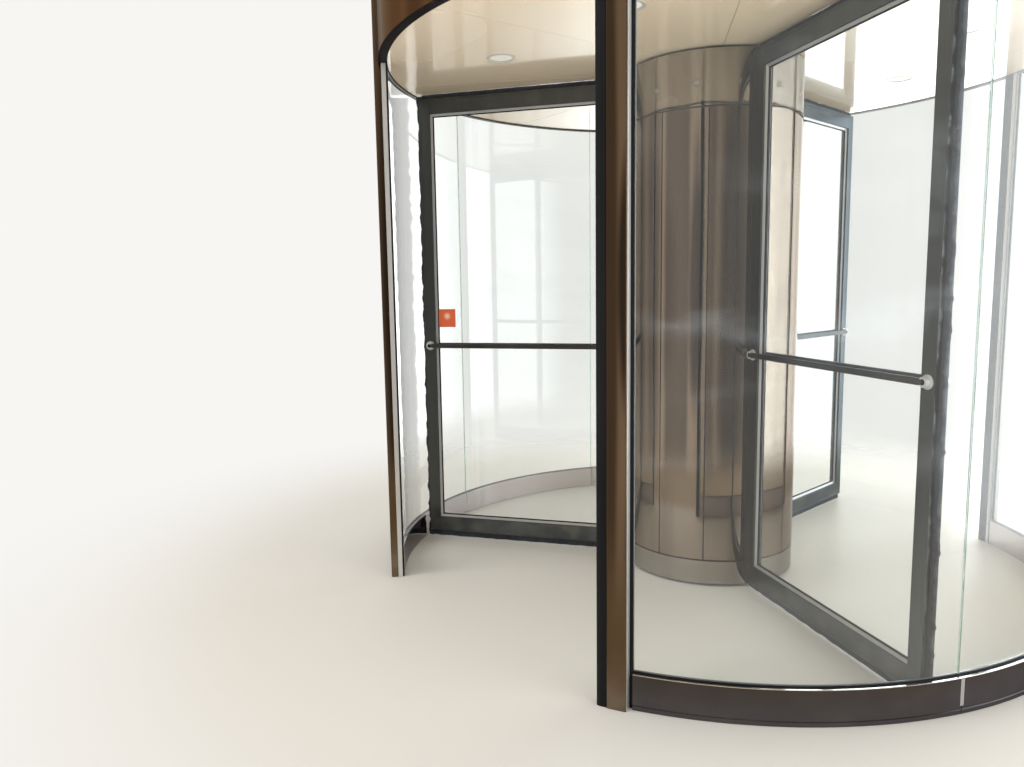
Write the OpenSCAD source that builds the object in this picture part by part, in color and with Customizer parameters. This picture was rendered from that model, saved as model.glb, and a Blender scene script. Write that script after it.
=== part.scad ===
// Automatic revolving door: three glazed wings turn with a clad centre drum
// inside a round enclosure of bent glass under a drum-shaped canopy.
// Origin on the floor at the centre of rotation, +Z up, lobby opening towards -Y.

/* [Enclosure] */
// Clear radius inside the ring, the rails and the posts
clear_r = 1538; // [1300:2:1800]
// Radial depth of the ring, the base rails and the fascia
frame_d = 42; // [38:1:70]
// Height of the soffit ring above the floor
clear_h = 2400; // [2150:10:2700]
// Angle between the two posts of a walk-through opening
opening_deg = 56.6; // [40:0.2:62]
// Height of the base rails
base_rail_h = 125; // [80:5:200]
// Height of the toe band under the fine groove of the base rails
toe_h = 16; // [8:1:40]

/* [Posts] */
// Width of a post across its outer face
post_w = 67; // [50:1:120]
// How far a post stands proud of the rails and the fascia
post_proud = 20; // [8:1:40]
// Radius of the post's outer corners
post_corner_r = 4; // [2:0.5:8]
// Width of the rubber safety strip on the closing post
strip_w = 39; // [32:1:60]
// Radius of the rounded nose of the safety strip
strip_nose_r = 14; // [6:1:22]
// Distance from the post's faces to the safety strip
strip_inset = 4; // [2:0.5:8]
// Depth of the bright jamb that grips the upright glass edge
jamb_d = 29; // [28:1:36]
// How far the jamb's bright flange shows beside the post on the glass side
jamb_lip = 2; // [1.5:0.5:6]

/* [Bent glass] */
// Thickness of the bent laminated glass
wall_glass_t = 12; // [8:1:16]
// Distance from the clear radius to the inner face of the glass
glass_inset = 12; // [10:1:14]
// Depth of the glass in the rails, the ring and the jambs
glass_grip = 15; // [8:1:25]
// Width of the upright joint between two bent panes
glass_joint = 4; // [2:0.5:8]
// Height of the rubber glazing gaskets
gasket_h = 9; // [4:1:20]
// Width of the rubber glazing gaskets
gasket_w = 6; // [3:1:10]

/* [Canopy] */
// Height of the dark soffit ring
ring_h = 40; // [25:1:80]
// Height of the canopy from the soffit ring's underside to the roof
canopy_h = 450; // [250:10:700]
// Thickness of the fascia
fascia_t = 5; // [3:0.5:6]
// Thickness of the roof deck
roof_t = 6; // [3:1:20]
// Thickness of the soffit panels
soffit_t = 6; // [3:1:10]
// Soffit panels round the ceiling
soffit_panels = 8; // [4:1:12]
// Width of the seams between soffit panels
seam_w = 2; // [1:0.5:5]
// Radius of the circle on which the downlights sit
light_pcd_r = 1040; // [700:10:1200]
// Radius of the hole for a downlight
light_hole_r = 58; // [30:1:80]
// Height of the joists inside the canopy
joist_h = 60; // [40:1:120]
// Width of the joists inside the canopy
joist_w = 40; // [20:1:80]

/* [Drum] */
// Radius of the centre drum over its cladding
drum_r = 412; // [300:2:600]
// Thickness of the drum's cladding sheets
clad_t = 6; // [3:1:10]
// Cladding panels round the drum, four between two wings
drum_panels_n = 12; // [6:3:24]
// Width of the upright joints between cladding panels
clad_joint = 4; // [2:0.5:8]
// Height of the drum's header band above the thin dark joint
drum_header_h = 235; // [150:5:450]
// Height of the drum's kick plate
skirt_h = 122; // [60:1:250]

/* [Wings] */
// Turn of the first wing from +X at rest
rest_deg = -22.6; // [-60:0.1:60]
// Thickness of the wing frames
wing_t = 50; // [36:1:70]
// Gap between the wing frames and the clear radius, closed by the brushes
wing_gap = 28; // [15:1:45]
// Width of the outer stile
outer_stile_w = 60; // [50:1:120]
// Width of the inner stile beside the drum
inner_stile_w = 70; // [40:1:120]
// Height of the top rail of a wing
top_rail_h = 78; // [50:1:150]
// Height of the bottom rail of a wing
bottom_rail_h = 78; // [60:1:250]
// Bevel along the edges of the stiles and rails
edge_bevel = 1.5; // [0.5:0.5:2.5]
// Width of the bright glazing beads round the wing glass
bead_w = 14; // [8:1:20]
// Thickness of the bright glazing beads
bead_t = 30; // [20:1:34]
// Thickness of a brush's carrier, which sits in a groove of the frame
brush_t = 14; // [10:1:18]
// Thickness of the brush's pile
pile_t = 10; // [6:1:10]
// Depth of the grooves that hold the brushes
groove_d = 10; // [6:1:14]
// Thickness of the wing glass
wing_glass_t = 10; // [6:1:12]
// Height of the push bars above the floor
bar_z = 1078; // [850:1:1200]
// Height of a push bar's section
bar_h = 24; // [14:1:40]
// Thickness of a push bar's section
bar_t = 12; // [8:1:24]
// Radius of the rounded edges of a push bar
bar_edge_r = 3.5; // [1:0.5:3.5]
// Radius of the round rosettes that hold a push bar
rosette_r = 24; // [20:1:32]
// Thickness of a rosette's wide foot
rosette_foot = 6; // [3:0.5:10]
// Distance from the stile face to the push bar
bar_standoff = 10; // [4:1:40]

/* [Running gaps] */
// Gap between the wing frame and the floor, closed by the brush
floor_gap = 42; // [15:1:60]
// Gap between the wing frame and the soffit ring, closed by the brush
head_gap = 24; // [15:1:40]
// Gap left between a brush and what it sweeps past
brush_gap = 5; // [5:0.5:8]
// Gap between the drum and the soffit
drum_gap = 10; // [6:1:25]
// Radial clearance of the pins in their bushes
pin_clear = 0.08; // [0.03:0.01:0.1]
// Small clearance between pieces that seat on each other
seat_gap = 0.3; // [0.1:0.05:0.5]

/* [Pivots] */
// Radius of the pin on the floor pivot
pin_r = 30; // [15:1:50]
// Radius of the shaft at the top of the drum
shaft_r = 45; // [25:1:70]
// Radius of the floor pivot's base plate
pivot_plate_r = 150; // [80:5:250]
// Thickness of the floor pivot's base plate
pivot_plate_t = 10; // [6:1:20]
// Outside radius of the top bearing housing
bearing_r = 110; // [90:1:160]

/* [Hidden] */
round_fn = 180;
small_fn = 48;
eps = 1;
frame_r = clear_r + frame_d;
post_r = frame_r + post_proud;
canopy_top = clear_h + canopy_h;
glass_r0 = clear_r + glass_inset;
glass_r1 = glass_r0 + wall_glass_t;
slack = 0.4;
slack_deg = 0.02;
sheet_bevel = 1;
post_in = clear_r + jamb_d;
post_foot_deg = opening_deg / 2;
jamb_side = post_w + jamb_lip;
glass_start = jamb_side - glass_grip;
glass_edge_deg = asin(glass_start / glass_r0);
wall_half = 90 - post_foot_deg - glass_edge_deg;
glass_bottom = base_rail_h - glass_grip;
glass_top = clear_h + glass_grip;
joint_half_deg = asin(glass_joint / 2 / glass_r0);
seal_half_deg = asin((glass_joint / 2 - seat_gap) / glass_r0);
rail_gap_deg = 0.05;
rail_end_deg = 90 - post_foot_deg - asin((jamb_side + gasket_h) / clear_r) - rail_gap_deg;
pane_joint_deg = rail_end_deg / 3;
toe_line = 3;
toe_d = 2;
ring_lip_t = 3;
ring_lip_w = 6;
ring_out = frame_r - fascia_t - seat_gap;
soffit_z = clear_h + ring_lip_t;
soffit_r = clear_r + ring_lip_w - 0.5;
shaft_gap = 16;
soffit_hole_r = shaft_r + shaft_gap;
joist_z = soffit_z + soffit_t;
joist_end = clear_r + ring_lip_w - 2;
collar_w = 40;
roof_z = canopy_top - roof_t;
rim_flange_w = 8;
rim_flange_t = 2;
rim_wall = 4;
rim_h = 24;
lens_t = 5;
lens_edge_t = 3;
lens_slope = 12;
clad_r = drum_r - clad_t;
core_r = clad_r - seat_gap;
core_wall = 8;
drum_z0 = pivot_plate_t + 4;
drum_top = clear_h - drum_gap;
dark_joint = 6;
drum_joint_z = drum_top - drum_header_h - dark_joint / 2;
deck_t = 16;
bush_r = pin_r + 25;
bush_h = 60;
wing_r = clear_r - wing_gap;
wing_z0 = floor_gap;
wing_z1 = clear_h - head_gap;
glass_x0 = drum_r + inner_stile_w;
glass_x1 = wing_r - outer_stile_w;
glass_z0 = wing_z0 + bottom_rail_h;
glass_z1 = wing_z1 - top_rail_h;
bead_web = 4;
bead_nose = 3.5;
glass_half = wing_glass_t / 2 + seat_gap;
neck_step = 4;
scribe = 20;
wings = [for (i = [0:2]) rest_deg + 120 * i];

// Ring segment between two radii, two angles and two heights
module arc(r0, r1, a0, a1, z0, z1) {
    rotate([0, 0, a0])
        rotate_extrude(angle = a1 - a0, $fn = round_fn)
            translate([r0, z0])
                square([r1 - r0, z1 - z0]);
}

// Full ring between two radii and two heights
module ring(r0, r1, z0, z1) {
    rotate_extrude($fn = round_fn)
        translate([r0, z0])
            square([r1 - r0, z1 - z0]);
}

// Curved sheet with its two outer edges eased
module sheet_arc(r0, r1, a0, a1, z0, z1) {
    e = sheet_bevel;
    rotate([0, 0, a0])
        rotate_extrude(angle = a1 - a0, $fn = round_fn)
            polygon([[r0, z0], [r1 - e, z0], [r1, z0 + e],
                [r1, z1 - e], [r1 - e, z1], [r0, z1]]);
}

// Bar along x: its section is drawn with x as height and y as thickness
module along_x(x0, x1) {
    translate([x1, 0, 0])
        rotate([0, -90, 0])
            linear_extrude(x1 - x0)
                children();
}

// Puts a shape drawn for the east lobby post at one of the four posts.
// x runs outwards and y away from the opening.
module at_east_lobby() {
    rotate([0, 0, -90 + post_foot_deg])
        children();
}

// The other three posts are this one turned half round or mirrored
module at_west_street() { rotate([0, 0, 180]) at_east_lobby() children(); }
module at_west_lobby() { mirror([1, 0, 0]) at_east_lobby() children(); }
module at_east_street() { mirror([1, 0, 0]) at_west_street() children(); }

// Plan of a post below the ring, with its two outer corners rounded
module post_plan(x0) {
    r = post_corner_r;
    union() {
        translate([x0, 0])
            square([post_r - r - x0, post_w]);
        translate([x0, r])
            square([post_r - x0, post_w - 2 * r]);
        translate([post_r - r, r])
            circle(r, $fn = small_fn);
        translate([post_r - r, post_w - r])
            circle(r, $fn = small_fn);
    }
}

// Post: full depth up to the ring, then a cover strip over the fascia
module post_body() {
    color("#4a3a30") {
        linear_extrude(clear_h - seat_gap)
            post_plan(post_in);
        translate([0, 0, clear_h - eps])
            linear_extrude(canopy_h + eps)
                post_plan(frame_r + seat_gap);
    }
}

module post_lobby_east() { at_east_lobby() post_body(); }
module post_lobby_west() { at_west_lobby() post_body(); }
module post_street_east() { at_east_street() post_body(); }
module post_street_west() { at_west_street() post_body(); }

// Space that the bent glass of one wall takes, with slack round it
module wall_glass_space() {
    for (turn = [0, 180])
        rotate([0, 0, turn])
            arc(glass_r0 - slack, glass_r1 + slack, -wall_half - slack_deg, wall_half + slack_deg,
                glass_bottom - slack, glass_top + slack);
}

// Channel inside the post with a thin flange along the post's flank
module jamb_body() {
    translate([clear_r, 0, 0])
        cube([jamb_d, jamb_side, clear_h - seat_gap]);
    translate([clear_r, post_w + seat_gap, 0])
        cube([post_r - post_corner_r - clear_r, jamb_lip - seat_gap, clear_h - seat_gap]);
}

// Bright upright channels, one inside each post, that hold the glass edge
module glazing_jambs() {
    color("#c9ccd0")
        difference() {
            union() {
                at_east_lobby() jamb_body();
                at_west_lobby() jamb_body();
                at_east_street() jamb_body();
                at_west_street() jamb_body();
            }
            wall_glass_space();
        }
}

// Soft rubber edge with a rounded nose on the post that a wing closes on
module strip_body() {
    r = strip_nose_r;
    x0 = clear_r + strip_inset;
    x1 = post_r - strip_inset;
    linear_extrude(clear_h - seat_gap)
        union() {
            translate([x0 + r, -strip_w])
                square([x1 - x0 - 2 * r, strip_w - seat_gap]);
            translate([x0, r - strip_w])
                square([x1 - x0, strip_w - r - seat_gap]);
            for (x = [x0 + r, x1 - r])
                translate([x, r - strip_w])
                    circle(r, $fn = small_fn);
        }
}

module safety_strips() {
    color("#151515") {
        at_east_lobby() strip_body();
        at_west_street() strip_body();
    }
}

// One pane of bent glass between two joints, or between a joint and a jamb
module bent_pane(a0, a1) {
    color([0.75, 0.86, 0.82, 0.4])
        arc(glass_r0, glass_r1, a0, a1, glass_bottom, glass_top);
}

joint_east = pane_joint_deg - joint_half_deg;
joint_west = pane_joint_deg + joint_half_deg;
module east_glass_lobby() { bent_pane(-wall_half, -joint_west); }
module east_glass_middle() { bent_pane(-joint_east, joint_east); }
module east_glass_street() { bent_pane(joint_west, wall_half); }
module west_glass_street() { rotate([0, 0, 180]) east_glass_lobby(); }
module west_glass_middle() { rotate([0, 0, 180]) east_glass_middle(); }
module west_glass_lobby() { rotate([0, 0, 180]) east_glass_street(); }

// Clear sealant in the upright joints between the bent panes
module glass_joint_seals() {
    color("#9fb0ad")
        for (turn = [0, 180])
            for (side = [-pane_joint_deg, pane_joint_deg])
                rotate([0, 0, turn + side])
                    arc(glass_r0, glass_r1, -seal_half_deg, seal_half_deg,
                        glass_bottom, glass_top);
}

// Section of a rubber gasket that leans on the glass: out is the side of the
// glass it sits on, up the way its lip points from the rail or the ring
module gasket_section(r, out, z, up) {
    shoulder = 0.45 * gasket_h;
    lip = 0.4 * gasket_w;
    polygon([[r, z], [r + out * gasket_w, z], [r + out * gasket_w, z + up * shoulder],
        [r + out * lip, z + up * gasket_h], [r, z + up * gasket_h]]);
}

// Black rubber along the foot, the head and the two edges of each glass wall
module glazing_gaskets() {
    color("#101010")
        for (turn = [0, 180])
            for (side = [[glass_r0 - seat_gap, -1], [glass_r1 + seat_gap, 1]]) {
                r = side[0];
                out = side[1];
                r_low = min(r, r + out * gasket_w);
                edge_deg = 90 - post_foot_deg - asin((jamb_side + seat_gap) / r_low);
                rotate([0, 0, turn - rail_end_deg])
                    rotate_extrude(angle = 2 * rail_end_deg, $fn = round_fn) {
                        gasket_section(r, out, base_rail_h + seat_gap, 1);
                        gasket_section(r, out, clear_h - seat_gap, -1);
                    }
                for (end = [0, 180])
                    rotate([end, 0, turn])
                        translate([0, 0, end == 0 ? 0 : seat_gap - clear_h])
                            arc(r_low, r_low + gasket_w, rail_end_deg + rail_gap_deg / 2,
                                edge_deg, 0, clear_h - seat_gap);
            }
}

// Base rail under one pane: eased edges, the groove that the glass stands in
// and the fine groove over the toe band
module base_rail(a0, a1) {
    e = edge_bevel;
    g0 = glass_r0 - slack;
    g1 = glass_r1 + slack;
    floor_z = glass_bottom - slack;
    toe_top = toe_h + toe_line;
    color("#5a4538")
        rotate([0, 0, a0])
            rotate_extrude(angle = a1 - a0, $fn = round_fn)
                polygon([[clear_r, 0], [frame_r, 0], [frame_r, toe_h],
                    [frame_r - toe_d, toe_h], [frame_r - toe_d, toe_top],
                    [frame_r, toe_top], [frame_r, base_rail_h - e],
                    [frame_r - e, base_rail_h], [g1, base_rail_h], [g1, floor_z],
                    [g0, floor_z], [g0, base_rail_h], [clear_r + e, base_rail_h],
                    [clear_r, base_rail_h - e]]);
}

rail_joint = pane_joint_deg - rail_gap_deg;
module east_rail_lobby() { base_rail(-rail_end_deg, -pane_joint_deg - rail_gap_deg); }
module east_rail_middle() { base_rail(-rail_joint, rail_joint); }
module east_rail_street() { base_rail(pane_joint_deg + rail_gap_deg, rail_end_deg); }
module west_rail_street() { rotate([0, 0, 180]) east_rail_lobby(); }
module west_rail_middle() { rotate([0, 0, 180]) east_rail_middle(); }
module west_rail_lobby() { rotate([0, 0, 180]) east_rail_street(); }

// Dark ring over posts and glass: an inner lip carries the soffit and an outer
// lip carries the fascia
module soffit_ring() {
    e = sheet_bevel;
    ring_top = clear_h + ring_h;
    wall_in = clear_r + ring_lip_w;
    color("#18181b")
        difference() {
            rotate_extrude($fn = round_fn)
                polygon([[clear_r + e, clear_h], [frame_r - e, clear_h],
                    [frame_r, clear_h + e], [frame_r, soffit_z], [ring_out, soffit_z],
                    [ring_out, ring_top], [wall_in, ring_top], [wall_in, soffit_z],
                    [clear_r, soffit_z], [clear_r, clear_h + e]]);
            wall_glass_space();
        }
}

cover_mid_deg = asin(post_w / 2 / post_r);
fascia_edge = 90 - post_foot_deg - cover_mid_deg;
fascia_joint_deg = 0.04;
module fascia(a0, a1) {
    color("#6b5344")
        sheet_arc(frame_r - fascia_t, frame_r, a0 + fascia_joint_deg, a1 - fascia_joint_deg,
            soffit_z + seat_gap, roof_z - seat_gap);
}

module fascia_lobby() { fascia(-180 + fascia_edge, -fascia_edge); }
module fascia_east() { fascia(-fascia_edge, fascia_edge); }
module fascia_street() { fascia(fascia_edge, 180 - fascia_edge); }
module fascia_west() { fascia(180 - fascia_edge, 180 + fascia_edge); }

module at_lights() {
    for (i = [0:soffit_panels - 1])
        rotate([0, 0, (i + 0.5) * 360 / soffit_panels])
            translate([light_pcd_r, 0, 0])
                children();
}

// Ceiling in equal sectors, each with one downlight
module soffit() {
    color("#e4d8bf")
        difference() {
            ring(soffit_hole_r, soffit_r, soffit_z, soffit_z + soffit_t);
            for (i = [0:soffit_panels - 1])
                rotate([0, 0, i * 360 / soffit_panels])
                    translate([0, -seam_w / 2, soffit_z - eps])
                        cube([soffit_r + eps, seam_w, soffit_t + 2 * eps]);
            at_lights()
                translate([0, 0, soffit_z - eps])
                    cylinder(r = light_hole_r, h = soffit_t + 2 * eps, $fn = small_fn);
        }
}

// Downlight rim: a flange under the soffit, a sloped inner edge and the housing
module downlight_rims() {
    flange_r = light_hole_r + rim_flange_w;
    flange_z = soffit_z - rim_flange_t;
    out_r = light_hole_r - seat_gap;
    in_r = light_hole_r - rim_wall;
    ledge_r = light_hole_r - 2 * rim_wall;
    color("#f2efe6")
        at_lights()
            rotate_extrude($fn = small_fn)
                polygon([[ledge_r, soffit_z], [ledge_r, soffit_z - sheet_bevel],
                    [ledge_r + rim_wall, flange_z], [flange_r - sheet_bevel, flange_z],
                    [flange_r, flange_z + sheet_bevel], [flange_r, soffit_z],
                    [out_r, soffit_z], [out_r, flange_z + rim_h],
                    [in_r, flange_z + rim_h], [in_r, soffit_z]]);
}

// Frosted lens that lies on the rim's ledge, thicker in its middle
module downlight_lenses() {
    edge_r = light_hole_r - rim_wall - seat_gap;
    color("#fffbe8")
        at_lights()
            rotate_extrude($fn = small_fn)
                polygon([[0, soffit_z], [edge_r, soffit_z], [edge_r, soffit_z + lens_edge_t],
                    [edge_r - lens_slope, soffit_z + lens_t], [0, soffit_z + lens_t]]);
}

// Joists over the soffit seams, joined to the ring that holds the top bearing
module canopy_frame() {
    color("#7d8288")
        difference() {
            union() {
                for (i = [0:soffit_panels - 1])
                    rotate([0, 0, i * 360 / soffit_panels])
                        translate([bearing_r, -joist_w / 2, joist_z])
                            cube([joist_end - bearing_r, joist_w, joist_h]);
                ring(bearing_r - collar_w / 8, bearing_r + collar_w, joist_z, joist_z + joist_h);
            }
            translate([0, 0, joist_z - eps])
                cylinder(r = bearing_r, h = joist_h + 2 * eps, $fn = round_fn);
        }
}

module top_bearing() {
    color("#8c9096")
        difference() {
            translate([0, 0, joist_z])
                cylinder(r = bearing_r, h = joist_h, $fn = round_fn);
            translate([0, 0, joist_z - eps])
                cylinder(r = shaft_r + pin_clear, h = joist_h + 2 * eps, $fn = round_fn);
        }
}

module roof_deck() {
    e = sheet_bevel;
    color("#3c3f43")
        rotate_extrude($fn = round_fn)
            polygon([[0, roof_z], [frame_r, roof_z], [frame_r, canopy_top - e],
                [frame_r - e, canopy_top], [0, canopy_top]]);
}

// Base plate on the floor with the pin that the drum turns on
module floor_pivot() {
    color("#8c9096") {
        cylinder(r = pivot_plate_r, h = pivot_plate_t, $fn = round_fn);
        cylinder(r = pin_r, h = drum_z0 + bush_h, $fn = round_fn);
        cylinder(r = bush_r, h = drum_z0 - seat_gap, $fn = round_fn);
    }
}

// Dark inner tube of the drum with its two decks, the bush and the top shaft
module drum_core() {
    color("#26262a")
        difference() {
            union() {
                difference() {
                    translate([0, 0, drum_z0])
                        cylinder(r = core_r, h = drum_top - drum_z0, $fn = round_fn);
                    translate([0, 0, drum_z0 + deck_t])
                        cylinder(r = core_r - core_wall, h = drum_top - drum_z0 - 2 * deck_t,
                            $fn = round_fn);
                }
                translate([0, 0, drum_z0])
                    cylinder(r = bush_r, h = bush_h + deck_t, $fn = round_fn);
                translate([0, 0, drum_top - deck_t])
                    cylinder(r = shaft_r, h = joist_z + joist_h - drum_top + deck_t,
                        $fn = round_fn);
            }
            translate([0, 0, drum_z0 - eps])
                cylinder(r = pin_r + pin_clear, h = bush_h + 2 * eps, $fn = round_fn);
        }
}

module drum_panels() {
    step = 360 / drum_panels_n;
    half_joint = asin(clad_joint / 2 / drum_r);
    color("#5c463a")
        for (i = [0:drum_panels_n - 1])
            rotate([0, 0, rest_deg + i * step])
                sheet_arc(clad_r, drum_r, half_joint, step - half_joint, skirt_h + dark_joint,
                    drum_joint_z - dark_joint / 2);
}

module drum_header() {
    color("#544238")
        sheet_arc(clad_r, drum_r, 0, 360, drum_joint_z + dark_joint / 2, drum_top);
}

module drum_skirt() {
    color("#4a3a30")
        sheet_arc(clad_r, drum_r, 0, 360, drum_z0, skirt_h);
}

// Section of a stile or a rail, as thick as the wing, with four eased edges
module bar_section(a0, a1) {
    h = wing_t / 2;
    e = edge_bevel;
    polygon([[a0 + e, -h], [a1 - e, -h], [a1, e - h], [a1, h - e],
        [a1 - e, h], [a0 + e, h], [a0, h - e], [a0, e - h]]);
}

// Grooves for the brushes along the outer edge, the foot and the head
module brush_grooves() {
    w = brush_t + 2 * seat_gap;
    span = wing_z1 - wing_z0 + 2 * eps;
    translate([wing_r - groove_d, -w / 2, wing_z0 - eps])
        cube([groove_d + eps, w, span]);
    for (z = [wing_z0 - eps, wing_z1 - groove_d])
        translate([0, -w / 2, z])
            cube([wing_r + eps, w, groove_d + eps]);
}

// Frame of one wing: two stiles and two rails with a fine open edge where they
// meet, scribed round the drum and grooved for the brushes
module wing_frame(turn) {
    bite = edge_bevel / 3;
    color("#3d322c")
        rotate([0, 0, turn])
            difference() {
                union() {
                    translate([0, 0, wing_z0])
                        linear_extrude(wing_z1 - wing_z0) {
                            bar_section(drum_r - scribe, glass_x0);
                            bar_section(glass_x1, wing_r);
                        }
                    along_x(glass_x0 - bite, glass_x1 + bite) {
                        bar_section(wing_z0, glass_z0);
                        bar_section(glass_z1, wing_z1);
                    }
                }
                brush_grooves();
                cylinder(r = drum_r, h = canopy_top, $fn = round_fn);
            }
}

module wing_1_frame() { wing_frame(wings[0]); }
module wing_2_frame() { wing_frame(wings[1]); }
module wing_3_frame() { wing_frame(wings[2]); }

// Section of a glazing bead from the frame's edge inwards: a web against the
// frame and two sloped cheeks that hold the glass between them
module bead_section(edge, inwards) {
    t = bead_t / 2;
    nose = glass_half + bead_nose;
    half = [[0, t], [bead_web, t], [bead_w, nose], [bead_w, glass_half],
        [bead_web, glass_half]];
    polygon([for (p = half) [edge + inwards * p[0], p[1]],
        for (i = [4:-1:0]) [edge + inwards * half[i][0], -half[i][1]]]);
}

// Four bead bars that cross in the corners, which gives true mitres
module bead_ring() {
    translate([0, 0, glass_z0])
        linear_extrude(glass_z1 - glass_z0) {
            bead_section(glass_x0, 1);
            bead_section(glass_x1, -1);
        }
    along_x(glass_x0, glass_x1) {
        bead_section(glass_z0, 1);
        bead_section(glass_z1, -1);
    }
}

module wing_beads() {
    color("#c4c7ca")
        for (turn = wings)
            rotate([0, 0, turn])
                bead_ring();
}

module wing_glass(turn) {
    inset = bead_web + seat_gap;
    color([0.75, 0.88, 0.84, 0.4])
        rotate([0, 0, turn])
            translate([glass_x0 + inset, -wing_glass_t / 2, glass_z0 + inset])
                cube([glass_x1 - glass_x0 - 2 * inset, wing_glass_t,
                    glass_z1 - glass_z0 - 2 * inset]);
}

module wing_1_glass() { wing_glass(wings[0]); }
module wing_2_glass() { wing_glass(wings[1]); }
module wing_3_glass() { wing_glass(wings[2]); }

// Turned rosette: a wide foot, a neck and eased edges
module rosette() {
    e = sheet_bevel;
    neck_r = rosette_r - neck_step;
    top = bar_standoff + bar_t;
    rotate_extrude($fn = small_fn)
        polygon([[0, 0], [rosette_r, 0], [rosette_r, rosette_foot - e],
            [rosette_r - e, rosette_foot], [neck_r, rosette_foot],
            [neck_r, top - e], [neck_r - e, top], [0, top]]);
}

// Section of a push bar with rounded edges, x as height and y as thickness
module push_bar_section() {
    r = bar_edge_r;
    z0 = bar_z - bar_h / 2;
    y0 = wing_t / 2 + bar_standoff;
    translate([z0 + r, y0])
        square([bar_h - 2 * r, bar_t]);
    translate([z0, y0 + r])
        square([bar_h, bar_t - 2 * r]);
    for (z = [z0 + r, z0 + bar_h - r])
        for (y = [y0 + r, y0 + bar_t - r])
            translate([z, y])
                circle(r, $fn = small_fn);
}

// Push bar on one face of a wing, held by a rosette on each stile
module push_bar() {
    x0 = glass_x0 - inner_stile_w / 2;
    x1 = glass_x1 + outer_stile_w / 2;
    for (x = [x0, x1])
        translate([x, wing_t / 2, bar_z])
            rotate([-90, 0, 0])
                rosette();
    along_x(x0, x1)
        push_bar_section();
}

module push_bars() {
    color("#2c2a2a")
        for (turn = wings)
            rotate([0, 0, turn]) {
                push_bar();
                mirror([0, 1, 0])
                    push_bar();
            }
}

// Section of a brush from the bottom of its groove to the tip of the pile
module brush_section(root, edge, tip) {
    c = brush_t / 2;
    p = pile_t / 2;
    polygon([[root, -c], [edge, -c], [edge, -p], [tip, -p],
        [tip, p], [edge, p], [edge, c], [root, c]]);
}

// Brush seals along the outer stile, the foot and the head of each wing
module wing_brushes() {
    tip_r = clear_r - brush_gap;
    depth = groove_d - seat_gap;
    color("#23262e")
        for (turn = wings)
            rotate([0, 0, turn])
                difference() {
                    union() {
                        translate([0, 0, brush_gap])
                            linear_extrude(clear_h - 2 * brush_gap)
                                brush_section(wing_r - depth, wing_r, tip_r);
                        along_x(drum_r, wing_r) {
                            brush_section(wing_z0 + depth, wing_z0, brush_gap);
                            brush_section(wing_z1 - depth, wing_z1, clear_h - brush_gap);
                        }
                    }
                    cylinder(r = drum_r + seat_gap, h = canopy_top, $fn = round_fn);
                }
}

post_lobby_east();
post_lobby_west();
post_street_east();
post_street_west();
glazing_jambs();
safety_strips();
east_glass_lobby();
east_glass_middle();
east_glass_street();
west_glass_street();
west_glass_middle();
west_glass_lobby();
glass_joint_seals();
glazing_gaskets();
east_rail_lobby();
east_rail_middle();
east_rail_street();
west_rail_street();
west_rail_middle();
west_rail_lobby();
soffit_ring();
fascia_lobby();
fascia_east();
fascia_street();
fascia_west();
soffit();
downlight_rims();
downlight_lenses();
canopy_frame();
top_bearing();
roof_deck();
floor_pivot();
drum_core();
drum_panels();
drum_header();
drum_skirt();
wing_1_frame();
wing_2_frame();
wing_3_frame();
wing_beads();
wing_1_glass();
wing_2_glass();
wing_3_glass();
push_bars();
wing_brushes();
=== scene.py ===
# %% [markdown]
# # A three-wing revolving door, dressed in Blender
#
# The solid model gives the sizes, the places and the moving body. This script gives the looks: it keeps the
# solids whose shape is already right, swaps the curved and moulded ones for finer meshes, and paints both.
# Every length is in metres, with the origin on the floor at the centre of rotation and the lobby towards -Y.

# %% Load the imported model
from math import cos, pi, radians, sin

import bmesh
import bpy
from mathutils import Matrix, Vector, noise


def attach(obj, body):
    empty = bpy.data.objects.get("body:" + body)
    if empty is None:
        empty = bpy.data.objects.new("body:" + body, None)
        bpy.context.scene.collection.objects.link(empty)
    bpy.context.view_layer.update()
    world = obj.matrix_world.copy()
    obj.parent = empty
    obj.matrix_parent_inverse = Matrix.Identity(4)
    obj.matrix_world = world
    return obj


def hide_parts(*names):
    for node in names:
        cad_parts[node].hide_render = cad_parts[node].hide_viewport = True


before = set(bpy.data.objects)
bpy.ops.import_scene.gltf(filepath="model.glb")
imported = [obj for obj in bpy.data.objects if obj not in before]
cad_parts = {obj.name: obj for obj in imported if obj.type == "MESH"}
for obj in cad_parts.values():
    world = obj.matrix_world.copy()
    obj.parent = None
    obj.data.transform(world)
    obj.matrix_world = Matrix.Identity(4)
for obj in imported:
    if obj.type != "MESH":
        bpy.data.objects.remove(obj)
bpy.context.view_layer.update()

scene = bpy.context.scene

# %% [markdown]
# ## Camera
#
# The photograph was taken in the lobby, a little right of the opening, at the height of a raised phone.
# A camera can be aimed with a Track To constraint, but a photograph that is slightly tilted needs a roll as
# well, so the three directions of the camera are worked out and put into its matrix.

# %% Camera
eye = Vector((2.5805, -3.1082, 1.4050))
heading, dip, lean = radians(143.824), radians(7.171), -0.0159
SENSOR, PICTURE_WIDTH, FOCAL_PIXELS = 36, 1024, 790.58
ahead = Vector((cos(heading) * cos(dip), sin(heading) * cos(dip), -sin(dip)))
level = Vector((sin(heading), -cos(heading), 0))
upright = level.cross(ahead)
right = level * cos(lean) + upright * sin(lean)
up = upright * cos(lean) - level * sin(lean)

lens = bpy.data.cameras.new("photo camera")
lens.sensor_width = SENSOR
lens.lens = FOCAL_PIXELS / PICTURE_WIDTH * SENSOR
camera = bpy.data.objects.new("photo camera", lens)
camera.matrix_world = Matrix((right, up, -ahead)).transposed().to_4x4()
camera.location = eye
scene.collection.objects.link(camera)
scene.camera = camera
scene.view_settings.view_transform = "Standard"
print("camera", round((eye.xy).length, 2), "m from the axis, lens", round(lens.lens, 2), "mm")

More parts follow.
